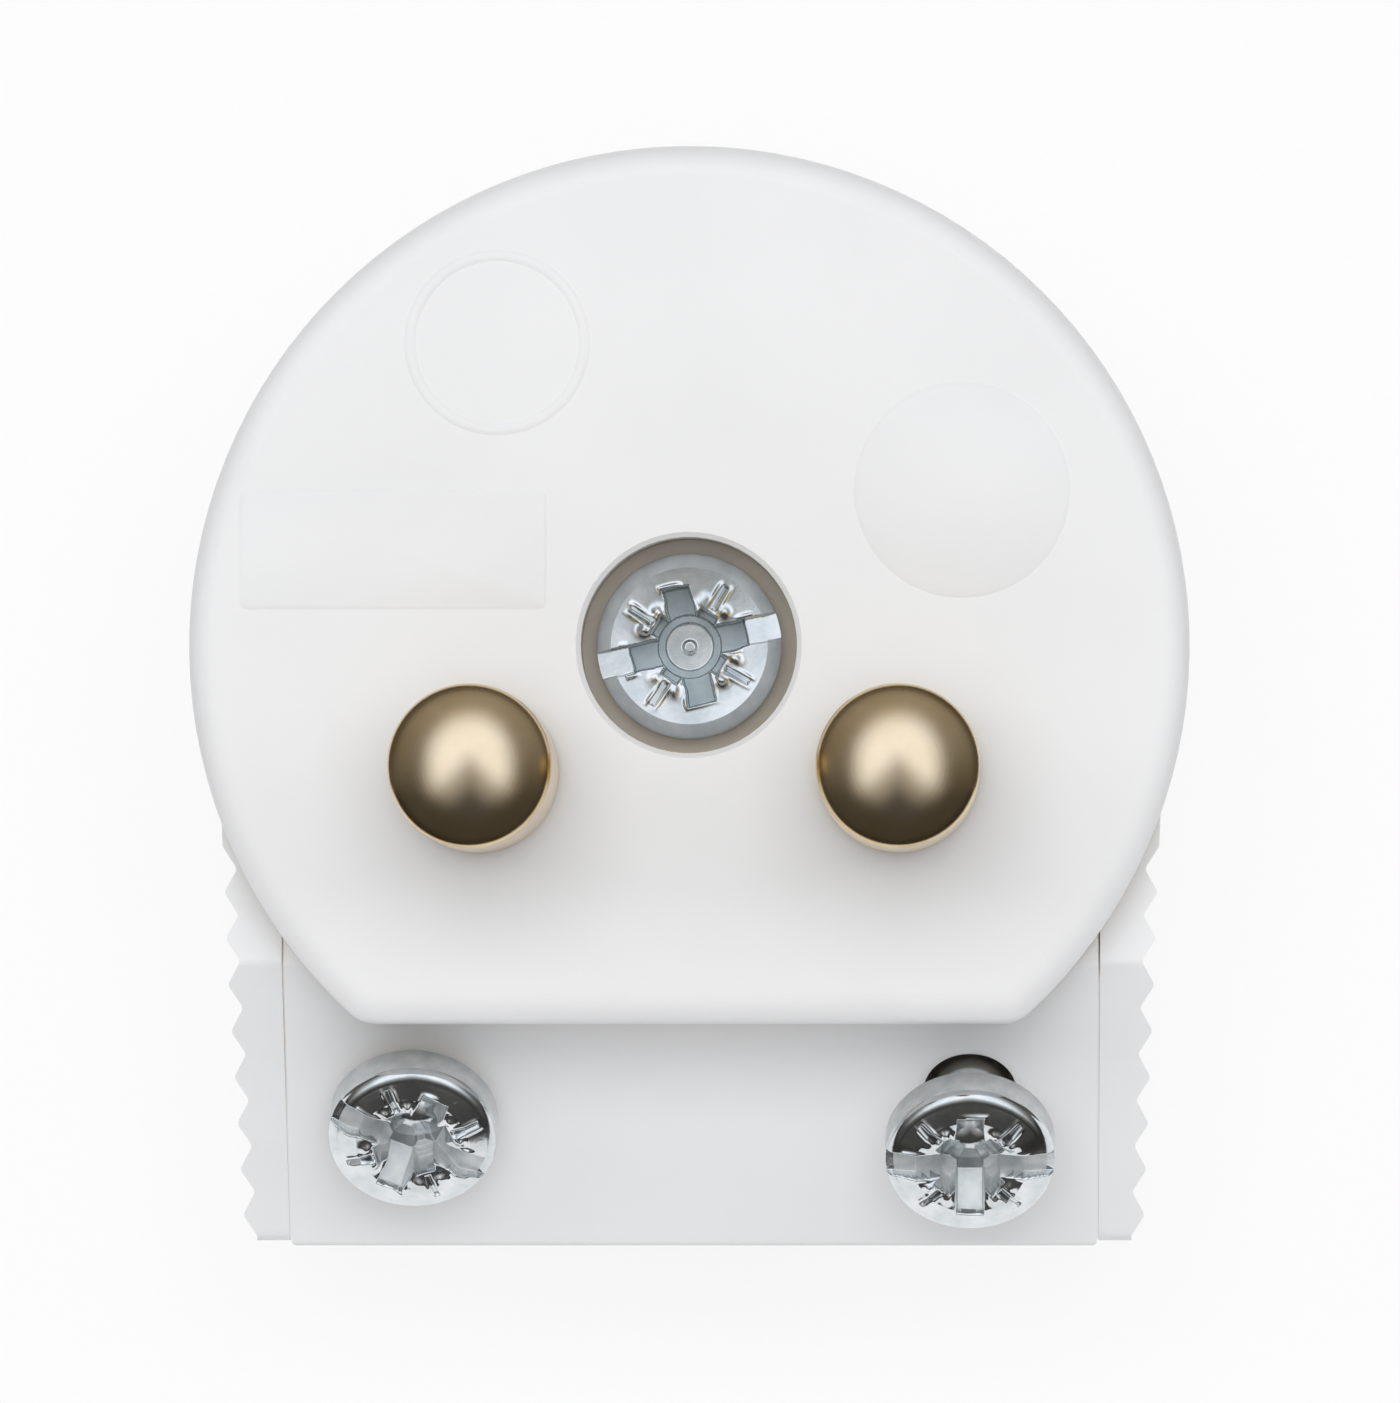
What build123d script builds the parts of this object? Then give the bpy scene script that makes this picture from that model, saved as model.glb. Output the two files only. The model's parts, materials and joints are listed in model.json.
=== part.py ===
from build123d import *
import os
from math import cos, radians, sin, sqrt, tan

# A two-pin plug for a lamp's ceiling outlet, in millimetres, lying on its flat back.
# The origin is on the centre screw's axis at the back plane, +Z runs along the pins,
# and the cord leaves towards -Y.

# Face plate: a disc with one flat
face_radius = 15.5
face_flat = 11.7
face_thickness = 4.0
face_edge_radius = 0.9
face_corner_radius = 1.2
counterbore_bevel = 0.15
face_boss_length = 3.0
face_boss_radius = 4.0
register_height = 1.4
register_width = 1.1
register_end = 4.0

# Contact pins and the wire terminals at their tails
pin_radius = 2.5
pin_dome_radius = 3.2
pin_edge_radius = 0.6
pin_spacing = 13.0
pin_drop = 3.95
pin_reach = 11.0
pin_neck_radius = 2.0
pin_neck_rise = 0.15
pin_fit = 0.02
terminal_radius = 3.0
terminal_length = 7.5
terminal_chamfer = 0.3
wire_hole_radius = 1.3
wire_hole_depth = 3.5
grub_radius = 1.45
grub_length = 4.0
grub_slot_width = 0.6
grub_slot_depth = 0.8
grub_chamfer = 0.25
grub_travel = 1.8

# Pan head screws with a slot and a cross, and the square nut
screw_radius = 1.45
screw_chamfer = 0.35
centre_head_radius = 2.87
centre_head_height = 1.8
clamp_head_radius = 2.65
clamp_head_height = 1.75
screw_head_bevel = 0.4
slot_width = 0.9
slot_depth = 0.6
cross_width = 0.82
cross_reach = 1.9
cross_core_radius = 1.2
cross_floor_radius = 0.75
cross_depth = 1.3
centre_screw_length = 12.0
centre_screw_turn = 13.0
centre_screw_sink = 0.95
counterbore_gap = 0.48
nut_width = 5.5
nut_thickness = 1.8
nut_corner_radius = 0.2
screw_runout = 1.85

# Rear housing
housing_radius = 14.8
housing_depth = 19.5
side_draft = 1.95
wall = 2.05
back_wall = 2.0
back_edge_radius = 2.0
pillar_radius = 4.2
pillar_gap = 0.2
grip_start = 6.16
grip_pitch = 1.44
grip_depth = 0.43
grip_edge_radius = 0.2

# Sloping front, the tip below it and the cord's way out behind the tip
land_drop = 9.8
tip_drop = 18.8
slope_angle = 37.0
housing_tip_radius = 0.8
housing_foot_radius = 1.0
crease_radius = 0.4
exit_wall = 1.5
cord_way_radius = 4.0
saddle_thickness = 1.6
saddle_place = 6.3
saddle_rise = 2.55
saddle_half_width = 5.0

# Cord clamp and the bosses that its screws run into
clamp_thickness = 3.6
clamp_top_drop = 8.7
clamp_travel = 1.8
clamp_tip_radius = 0.4
clamp_corner_radius = 0.4
clamp_rib_height = 0.6
clamp_rib_pitch = 2.4
clamp_rib_half_width = 3.2
clamp_screw_spacing = 17.4
clamp_screw_drop = 13.8
clamp_screw_length = 12.0
left_screw_gap = 1.25
right_screw_gap = 2.4
left_screw_turn = -25.0
right_screw_turn = 0.0
screw_boss_radius = 3.0
screw_boss_length = 6.0

# Clearances
seam_gap = 0.05
register_gap = 0.1
seat_gap = 0.05
thread_gap = 0.05
screw_hole_gap = 0.2
nut_gap = 0.05
stop_gap = 0.3
terminal_gap = 0.4
overrun = 1.0

# Heights and places that follow from the sizes above
face_front = housing_depth + face_thickness
pin_tip = face_front + pin_reach
terminal_rear = housing_depth - terminal_length
wire_hole_height = housing_depth - wire_hole_depth
grub_rear = wire_hole_height - wire_hole_radius - grub_length
grub_hole_top = grub_rear + grub_length + grub_travel + stop_gap
screw_seat = face_front - centre_screw_sink - centre_head_height
nut_height = screw_seat - centre_screw_length + screw_runout
counterbore_radius = centre_head_radius + counterbore_gap
pillar_top = housing_depth - face_boss_length - pillar_gap
cavity_radius = housing_radius - wall
clamp_half_width = cavity_radius - seam_gap
slope = radians(slope_angle)
slope_length = (tip_drop - land_drop) / cos(slope)
tip_height = housing_depth - slope_length * sin(slope)
foot_drop = tip_drop - tip_height * tan(slope)
screw_run = (clamp_screw_drop - land_drop) / cos(slope)
inner_stop = clamp_thickness + clamp_travel + stop_gap
cord_way_depth = inner_stop + cord_way_radius / 2
cord_way_floor = land_drop * tan(slope) - (cord_way_depth + cord_way_radius) / cos(slope)
saddle_height = housing_depth + cord_way_floor - saddle_place * tan(slope) + saddle_rise
pin_places = {"left": -pin_spacing / 2, "right": pin_spacing / 2}
clamp_screw_places = {"left": -clamp_screw_spacing / 2, "right": clamp_screw_spacing / 2}
clamp_screw_gaps = {"left": left_screw_gap, "right": right_screw_gap}
clamp_screw_turns = {"left": left_screw_turn, "right": right_screw_turn}

# The slope's own frame: x across, y up the slope from its tip, z straight out of it
slope_frame = Plane(
    origin=(0, -land_drop, housing_depth),
    x_dir=(1, 0, 0),
    z_dir=(0, -sin(slope), cos(slope)),
).location


def cylinder_between(radius, low, high):
    return Pos(0, 0, low) * Cylinder(radius, high - low, align=(Align.CENTER, Align.CENTER, Align.MIN))


def box_between(low, high):
    size = [top - bottom for bottom, top in zip(low, high)]
    return Pos(*low) * Box(*size, align=(Align.MIN, Align.MIN, Align.MIN))


def along_slope(radius, low, high):
    # A cylinder that lies up and down the slope
    return Rot(-90, 0, 0) * cylinder_between(radius, low, high)


def side_prism(outline, half_width):
    # A profile drawn in Y and Z, carried to both sides of the middle
    return extrude(Plane.YZ * outline, half_width, both=True)


def rounded(outline, corner, radius):
    nearest = outline.vertices().sort_by_distance((*corner, 0))[0]
    return fillet(nearest, radius)


# The face plate


def face_outline():
    disc = Circle(face_radius)
    kept = Pos(0, -face_flat) * Rectangle(
        2 * face_radius, face_radius + face_flat, align=(Align.CENTER, Align.MIN)
    )
    outline = disc & kept
    corners = outline.vertices().sort_by(Axis.Y)[:2]
    return fillet(corners, face_corner_radius)


def register_rib():
    # An arc on the plate's back that drops inside the housing's rim
    outside = cavity_radius - register_gap
    ring = Circle(outside) - Circle(outside - register_width)
    above = Pos(0, -register_end) * Rectangle(
        2 * outside, outside + register_end, align=(Align.CENTER, Align.MIN)
    )
    return Pos(0, 0, housing_depth - register_height) * extrude(ring & above, register_height)


def face_plate():
    plate = Pos(0, 0, housing_depth) * extrude(face_outline(), face_thickness)
    front_edges = plate.faces().sort_by(Axis.Z)[-1].edges()
    plate = fillet(front_edges, min(face_edge_radius, 0.9 * face_corner_radius))
    plate += register_rib()
    plate += cylinder_between(face_boss_radius, housing_depth - face_boss_length, housing_depth)
    plate -= cylinder_between(counterbore_radius, screw_seat, face_front + overrun)
    mouth = plate.edges().sort_by_distance((0, 0, face_front))[0]
    plate = chamfer(mouth, counterbore_bevel)
    plate -= cylinder_between(screw_radius + screw_hole_gap, 0, face_front)
    for place in pin_places.values():
        hole = cylinder_between(pin_neck_radius + pin_fit, 0, face_front + overrun)
        plate -= Pos(place, -pin_drop) * hole
    return plate


# Pins and terminal screws


def contact_pin(place):
    # A turned pin with a domed tip, a neck that the plate is moulded round, and a wire terminal
    neck_top = face_front + pin_neck_rise
    dome_edge = pin_tip - pin_dome_radius + sqrt(pin_dome_radius**2 - pin_radius**2)
    sides = Polyline(
        (0, pin_tip),
        (0, terminal_rear),
        (terminal_radius - terminal_chamfer, terminal_rear),
        (terminal_radius, terminal_rear + terminal_chamfer),
        (terminal_radius, housing_depth),
        (pin_neck_radius, housing_depth),
        (pin_neck_radius, neck_top),
        (pin_radius, neck_top),
        (pin_radius, dome_edge),
    )
    dome = TangentArc((0, pin_tip), (pin_radius, dome_edge), tangent=(1, 0))
    profile = rounded(make_face(sides + dome), (pin_radius, dome_edge), pin_edge_radius)
    pin = revolve(Plane.XZ * profile, Axis.Z)
    wire_hole = Rot(90, 0, 0) * Cylinder(wire_hole_radius, 2 * terminal_radius + overrun)
    pin -= Pos(0, 0, wire_hole_height) * wire_hole
    pin -= cylinder_between(grub_radius + thread_gap, terminal_rear - overrun, grub_hole_top)
    return Pos(place, -pin_drop) * pin


def terminal_screw(place):
    screw = cylinder_between(grub_radius, grub_rear, grub_rear + grub_length)
    screw = chamfer(screw.edges().filter_by(GeomType.CIRCLE), grub_chamfer)
    screw -= Pos(0, 0, grub_rear) * Box(3 * grub_radius, grub_slot_width, 2 * grub_slot_depth)
    return Pos(place, -pin_drop) * screw


# Pan head screws, made with the seat of the head at height zero


def head_recess(head_radius, top):
    floor = top - cross_depth
    arms = Box(2 * cross_reach, cross_width, 3 * cross_depth)
    arms += Box(cross_width, 2 * cross_reach, 3 * cross_depth)
    lift = Pos(0, 0, floor + cross_depth / 2)
    recess = (Pos(0, 0, top) * arms) & (lift * Cone(cross_floor_radius, cross_reach, cross_depth))
    recess += lift * Cone(cross_floor_radius, cross_core_radius, cross_depth)
    recess += Pos(0, 0, top) * Box(3 * head_radius, slot_width, 2 * slot_depth)
    return recess


def pan_screw(head_radius, head_height, length):
    head = cylinder_between(head_radius, 0, head_height)
    head = chamfer(head.edges().sort_by(Axis.Z)[-1], screw_head_bevel)
    shank = cylinder_between(screw_radius, -length, overrun / 2)
    shank = chamfer(shank.edges().sort_by(Axis.Z)[0], screw_chamfer)
    return head + shank - head_recess(head_radius, head_height)


def centre_screw():
    screw = pan_screw(centre_head_radius, centre_head_height, centre_screw_length)
    return Pos(0, 0, screw_seat) * Rot(0, 0, centre_screw_turn) * screw


def clamp_screw(side):
    place = Pos(clamp_screw_places[side], -screw_run, clamp_screw_gaps[side])
    screw = pan_screw(clamp_head_radius, clamp_head_height, clamp_screw_length)
    return slope_frame * place * Rot(0, 0, clamp_screw_turns[side]) * screw


def centre_nut():
    nut = Pos(0, 0, nut_height + nut_thickness / 2) * Box(nut_width, nut_width, nut_thickness)
    nut = fillet(nut.edges().filter_by(Axis.Z), nut_corner_radius)
    return nut - cylinder_between(screw_radius + thread_gap, 0, housing_depth)


# The rear housing


def plan_outline():
    # A half-round top that runs into two drafted sides
    lean = radians(side_draft)
    start = (housing_radius * cos(lean), -housing_radius * sin(lean))
    end_drop = tip_drop + overrun
    end_half_width = start[0] - (end_drop + start[1]) * tan(lean)
    top = ThreePointArc((-start[0], start[1]), (0, housing_radius), start)
    sides = Polyline(start, (end_half_width, -end_drop), (-end_half_width, -end_drop), (-start[0], start[1]))
    return make_face(top + sides)


def side_profile():
    reach = housing_radius + overrun
    crease = (-land_drop, housing_depth)
    tip = (-tip_drop, tip_height)
    foot = (-foot_drop, 0)
    profile = make_face(Polyline((reach, 0), (reach, housing_depth), crease, tip, foot, close=True))
    profile = rounded(profile, tip, housing_tip_radius)
    profile = rounded(profile, foot, housing_foot_radius)
    return rounded(profile, crease, crease_radius)


def grip_cutter():
    # Everything outside a row of rounded teeth, along the right-hand side
    lean = radians(side_draft)
    half = grip_pitch / 2
    count = 2 * (int((tip_drop - grip_start) / grip_pitch) + 2)
    teeth = [(half * step, -grip_depth * (step % 2)) for step in range(count + 1)]
    end = teeth[-1][0]
    beyond = grip_depth + overrun
    outline = make_face(Polyline(*teeth, (end, beyond), (0, beyond), close=True))
    corners = [corner for corner in outline.vertices() if half / 2 < corner.X < end - half / 2]
    outline = fillet(corners, grip_edge_radius)
    side = housing_radius * cos(lean) - (grip_start - housing_radius * sin(lean)) * tan(lean)
    cutter = Pos(side, -grip_start) * Rot(0, 0, -90 - side_draft) * outline
    return Pos(0, 0, -overrun) * extrude(cutter, housing_depth + 2 * overrun)


def housing_block():
    block = extrude(plan_outline(), housing_depth)
    block = fillet(block.faces().sort_by(Axis.Z)[0].edges(), back_edge_radius)
    block &= side_prism(side_profile(), 2 * housing_radius)
    cutter = grip_cutter()
    return block - cutter - mirror(cutter, Plane.YZ)


def cavity():
    room = Circle(cavity_radius) + Rectangle(
        2 * cavity_radius, tip_drop + overrun, align=(Align.CENTER, Align.MAX)
    )
    room = Pos(0, 0, back_wall) * extrude(room, housing_depth)
    end_wall = box_between(
        (-housing_radius, -slope_length - overrun, -2 * housing_depth),
        (housing_radius, -slope_length + exit_wall, -inner_stop),
    )
    return room - slope_frame * end_wall


def cord_way():
    # A round-bottomed channel along the slope, open towards the clamp
    low = -slope_length - overrun
    channel = Pos(0, 0, -cord_way_depth) * along_slope(cord_way_radius, low, 0)
    channel += box_between((-cord_way_radius, low, -cord_way_depth), (cord_way_radius, 0, 0))
    return slope_frame * channel


def centre_pillar():
    pillar = cylinder_between(pillar_radius, back_wall / 2, pillar_top)
    half = nut_width / 2 + nut_gap
    pillar -= box_between(
        (-half, -half, nut_height - nut_gap),
        (half, pillar_radius + overrun, nut_height + nut_thickness + nut_gap),
    )
    return pillar - cylinder_between(screw_radius + screw_hole_gap, back_wall, housing_depth)


def screw_boss(place):
    # A round boss along the clamp screw, webbed out to the side wall
    low = -inner_stop - screw_boss_length
    boss = Pos(place, -screw_run) * cylinder_between(screw_boss_radius, low, -inner_stop)
    out = (cavity_radius + wall / 4) * (1 if place > 0 else -1)
    web = box_between(
        (min(place, out), -screw_run - screw_boss_radius, low),
        (max(place, out), -screw_run + screw_boss_radius, -inner_stop),
    )
    return slope_frame * (boss + web)


def cord_saddle():
    rib = box_between(
        (-saddle_half_width, -saddle_place - saddle_thickness / 2, back_wall / 2),
        (saddle_half_width, -saddle_place + saddle_thickness / 2, saddle_height),
    )
    return rib - cord_way()


def terminal_wells():
    # Room round both terminals and their screws, as they draw out with the face
    well = cylinder_between(terminal_radius + terminal_gap, terminal_rear - terminal_gap, housing_depth)
    well += cylinder_between(grub_radius + terminal_gap, grub_rear - terminal_gap, housing_depth)
    left, right = (Pos(place, -pin_drop) * well for place in pin_places.values())
    return left + right


def rear_housing():
    fittings = centre_pillar() + cord_saddle()
    for place in clamp_screw_places.values():
        fittings += screw_boss(place)
    shell = housing_block() - cavity() - cord_way()
    shell += fittings - terminal_wells()
    hole = cylinder_between(screw_radius + thread_gap, -inner_stop - screw_boss_length - overrun, 0)
    for place in clamp_screw_places.values():
        shell -= slope_frame * Pos(place, -screw_run) * hole
    return shell


# The cord clamp


def clamp_profile():
    top = housing_depth - seat_gap
    crease = (-land_drop - seat_gap / tan(slope), top)
    tip = (-tip_drop, tip_height)
    tip_back = (-tip_drop + clamp_thickness * sin(slope), tip_height - clamp_thickness * cos(slope))
    back_rise = (tip_drop - clamp_thickness * sin(slope) - clamp_top_drop) * tan(slope)
    end_back = (-clamp_top_drop, tip_back[1] + back_rise)
    profile = make_face(Polyline(crease, (-clamp_top_drop, top), end_back, tip_back, tip, close=True))
    profile = rounded(profile, tip, clamp_tip_radius)
    return rounded(profile, crease, crease_radius)


def clamp_plan():
    # The clamp seen square to the slope, with its two lower corners rounded
    plan = Rectangle(
        2 * clamp_half_width, slope_length + clamp_thickness, align=(Align.CENTER, Align.MIN)
    )
    lower_corners = plan.vertices().sort_by(Axis.Y)[:2]
    plan = Pos(0, -slope_length) * fillet(lower_corners, clamp_corner_radius)
    return slope_frame * extrude(plan, 2 * clamp_thickness, both=True)


def clamp_ribs():
    # Rounded ridges across the clamp's back that bite the cord
    ribs = []
    for step in (-1, 0, 1):
        place = Pos(0, -screw_run + step * clamp_rib_pitch, -clamp_thickness)
        ridge = Rot(0, 90, 0) * Cylinder(clamp_rib_height, 2 * clamp_rib_half_width)
        ribs.append(slope_frame * place * ridge)
    return ribs


def cord_clamp():
    clamp = side_prism(clamp_profile(), clamp_half_width) & clamp_plan()
    for rib in clamp_ribs():
        clamp += rib
    hole = cylinder_between(screw_radius + screw_hole_gap, -2 * clamp_thickness, overrun)
    for place in clamp_screw_places.values():
        clamp -= slope_frame * Pos(place, -screw_run) * hole
    return clamp


# One file for each piece

pieces = {
    "face_plate": face_plate(),
    "rear_housing": rear_housing(),
    "cord_clamp": cord_clamp(),
    "centre_screw": centre_screw(),
    "centre_nut": centre_nut(),
}
for side, place in pin_places.items():
    pieces[f"pin_{side}"] = contact_pin(place)
    pieces[f"terminal_screw_{side}"] = terminal_screw(place)
    pieces[f"clamp_screw_{side}"] = clamp_screw(side)

os.makedirs("parts", exist_ok=True)
for name, piece in pieces.items():
    export_step(piece, f"parts/{name}.step")
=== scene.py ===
import json
import math

import bmesh
import bpy
import numpy as np
from mathutils import Matrix, Vector


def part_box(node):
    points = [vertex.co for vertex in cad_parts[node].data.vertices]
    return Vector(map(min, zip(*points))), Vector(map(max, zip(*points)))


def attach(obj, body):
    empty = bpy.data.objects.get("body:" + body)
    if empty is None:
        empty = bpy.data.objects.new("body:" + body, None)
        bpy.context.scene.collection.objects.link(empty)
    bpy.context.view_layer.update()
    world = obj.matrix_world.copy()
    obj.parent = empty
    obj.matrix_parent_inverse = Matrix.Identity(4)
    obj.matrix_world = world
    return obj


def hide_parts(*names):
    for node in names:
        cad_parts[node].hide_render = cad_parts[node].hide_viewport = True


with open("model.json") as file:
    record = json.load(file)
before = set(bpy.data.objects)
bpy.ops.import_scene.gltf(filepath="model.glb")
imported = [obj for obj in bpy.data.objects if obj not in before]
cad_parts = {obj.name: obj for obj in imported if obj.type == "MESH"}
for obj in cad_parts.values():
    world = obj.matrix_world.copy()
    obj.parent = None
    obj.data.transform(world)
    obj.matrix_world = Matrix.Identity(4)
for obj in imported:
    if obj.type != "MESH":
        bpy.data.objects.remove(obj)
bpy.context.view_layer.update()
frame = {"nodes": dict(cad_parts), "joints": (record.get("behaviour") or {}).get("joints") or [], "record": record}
scene = bpy.context.scene
mm = 0.001
creaseDegrees = 35  # edges that turn more than this stay crisp
mounts = {mount["name"]: mount for mount in frame["record"]["mounts"]}
joints = {joint["name"]: joint for joint in frame["joints"]}
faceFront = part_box("face_plate")[1].z / mm
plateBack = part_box("rear_housing")[1].z / mm
print("frame loaded:", len(frame["nodes"]), "nodes")


# helpers for nodes and meshes

def linear(hexColour):
    # sRGB hex to the linear values that sockets take
    channels = [int(hexColour[i:i + 2], 16) / 255 for i in (1, 3, 5)]
    return [c / 12.92 if c <= 0.04045 else ((c + 0.055) / 1.055) ** 2.4 for c in channels] + [1.0]


def perMetre(sizeMm):
    # texture scale for a pattern that repeats every sizeMm
    return 1 / (sizeMm * mm)


def addNode(tree, kind, settings=None, links=None):
    # settings are a ramp's stops, the node's own properties, or its inputs by name or number
    node = tree.nodes.new(kind)
    for key, value in (settings or {}).items():
        if key == "stops":
            elements = node.color_ramp.elements
            while len(elements) < len(value):
                elements.new(0.5)
            for element, (position, hexColour) in zip(elements, value):
                element.position = position
                element.color = linear(hexColour)
        elif isinstance(key, str) and hasattr(node, key):
            setattr(node, key, value)
        else:
            node.inputs[key].default_value = value
    for key, source in (links or {}).items():
        tree.links.new(source, node.inputs[key])
    return node


def newMaterial(name):
    material = bpy.data.materials.new(name)
    material.use_nodes = True
    material.node_tree.nodes.clear()
    return material, material.node_tree


def addPiece(name, verts, faces, crisp=True):
    # verts in millimetres
    mesh = bpy.data.meshes.new(name)
    mesh.from_pydata((np.asarray(verts, float) * mm).tolist(), [], faces)
    mesh.validate()
    mesh.shade_smooth()
    if crisp:
        mesh.set_sharp_from_angle(angle=math.radians(creaseDegrees))
    piece = bpy.data.objects.new(name, mesh)
    scene.collection.objects.link(piece)
    return piece


def ringFaces(rings, count, looped=False):
    # quads between rings of equal vertex count, wound to face outwards going up
    # looped joins the last ring to the first; otherwise both ends are capped
    faces = []
    for level in range(rings if looped else rings - 1):
        low, high = level * count, (level + 1) % rings * count
        for k in range(count):
            n = (k + 1) % count
            faces.append((low + k, low + n, high + n, high + k))
    if not looped:
        faces.append(tuple(reversed(range(count))))
        faces.append(tuple((rings - 1) * count + k for k in range(count)))
    return faces


def turnedVerts(profile, count):
    # a profile of (radius, z) carried round the z axis
    turn = [2 * math.pi * k / count for k in range(count)]
    return [(r * math.cos(a), r * math.sin(a), z) for r, z in profile for a in turn]


def standOn(joint):
    # at the joint's point, with z along its axis
    across, out = Vector((1, 0, 0)), Vector(joint["axis"])
    turn = Matrix((across, out.cross(across), out)).transposed().to_4x4()
    return Matrix.Translation(joint["pos_m"]) @ turn


# materials

# the brownish crevice colour below is painted shade, laid where the surface is enclosed
whitePolyamide = {"light": "#f3f3f3", "deep": "#f0f0f0", "speck": "#a9a39c", "paintedShade": "#c8bca8", "ior": 1.5,
                  "roughLow": 0.38, "roughHigh": 0.48,
                  "mottleMm": 6.0, "mottleDetail": 3.0, "mottleRange": (0.35, 0.65),
                  "speckEveryMm": 8.0, "speckMm": 0.05,
                  "creviceMm": 1.7, "creviceOpen": (0.05, 0.6), "creviceSamples": 4,
                  "gritMm": 0.3, "gritDetail": 2.0, "gritHeightMm": 0.02, "gritStrength": 0.12}


def mouldedPolyamide():
    # white polyamide from a spark-eroded mould: satin, faintly cloudy, with painted brownish shade in narrow
    # crevices
    look = whitePolyamide
    material, tree = newMaterial("mouldedPolyamide")
    where = addNode(tree, "ShaderNodeTexCoord").outputs["Object"]
    cloud = addNode(tree, "ShaderNodeTexNoise",
                    {"Scale": perMetre(look["mottleMm"]), "Detail": look["mottleDetail"]}, {"Vector": where})
    low, high = look["mottleRange"]
    tone = addNode(tree, "ShaderNodeValToRGB", {"stops": [(low, look["deep"]), (high, look["light"])]},
                   {"Fac": cloud.outputs["Fac"]})
    cells = addNode(tree, "ShaderNodeTexVoronoi", {"Scale": perMetre(look["speckEveryMm"])},
                    {"Vector": where})
    isSpeck = addNode(tree, "ShaderNodeMath",
                      {"operation": "LESS_THAN", 1: look["speckMm"] / look["speckEveryMm"]},
                      {0: cells.outputs["Distance"]})
    specked = addNode(tree, "ShaderNodeMix", {"data_type": "RGBA", 7: linear(look["speck"])},
                      {0: isSpeck.outputs[0], 6: tone.outputs["Color"]})
    # painted shade: the plastic turns brownish where ambient occlusion finds it enclosed, in crevices and narrow
    # gaps
    nearby = addNode(tree, "ShaderNodeAmbientOcclusion",
                     {"samples": look["creviceSamples"], "Distance": look["creviceMm"] * mm})
    crevice = addNode(tree, "ShaderNodeMapRange",
                      {"From Min": look["creviceOpen"][0], "From Max": look["creviceOpen"][1],
                       "To Min": 1.0, "To Max": 0.0}, {"Value": nearby.outputs["AO"]})
    colour = addNode(tree, "ShaderNodeMix", {"data_type": "RGBA", 7: linear(look["paintedShade"])},
                     {0: crevice.outputs[0], 6: specked.outputs[2]})
    # mould grit is about 0.05 mm, drawn at 0.3 mm so that it shows
    grit = addNode(tree, "ShaderNodeTexNoise",
                   {"Scale": perMetre(look["gritMm"]), "Detail": look["gritDetail"]}, {"Vector": where})
    bump = addNode(tree, "ShaderNodeBump",
                   {"Strength": look["gritStrength"], "Distance": look["gritHeightMm"] * mm},
                   {"Height": grit.outputs["Fac"]})
    rough = addNode(tree, "ShaderNodeMapRange", {"To Min": look["roughLow"], "To Max": look["roughHigh"]},
                    {"Value": cloud.outputs["Fac"]})
    shader = addNode(tree, "ShaderNodeBsdfPrincipled", {"IOR": look["ior"]},
                     {"Base Color": colour.outputs[2], "Roughness": rough.outputs[0],
                      "Normal": bump.outputs[0]})
    addNode(tree, "ShaderNodeOutputMaterial", None, {"Surface": shader.outputs[0]})
    return material


# the tip's pale tint is a painted highlight, laid where the highlight falls; the bright and dull tones are the
# flanks, more saturated as painted shade
brassLook = {"bright": "#e0c9a2", "dull": "#d4b98c", "highlightTintBright": "#ecdabe", "highlightTintDull": "#e2ceb0",
             "highlightTintMm": (1.2, 2.0), "roughLow": 0.2, "roughHigh": 0.27,
             "stainMm": 1.6, "stainDetail": 4.0, "stainRange": (0.3, 0.7),
             "turnedMm": 0.06, "turnedDetail": 1.0, "turnedHeightMm": 0.01, "turnedStrength": 0.08}


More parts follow.
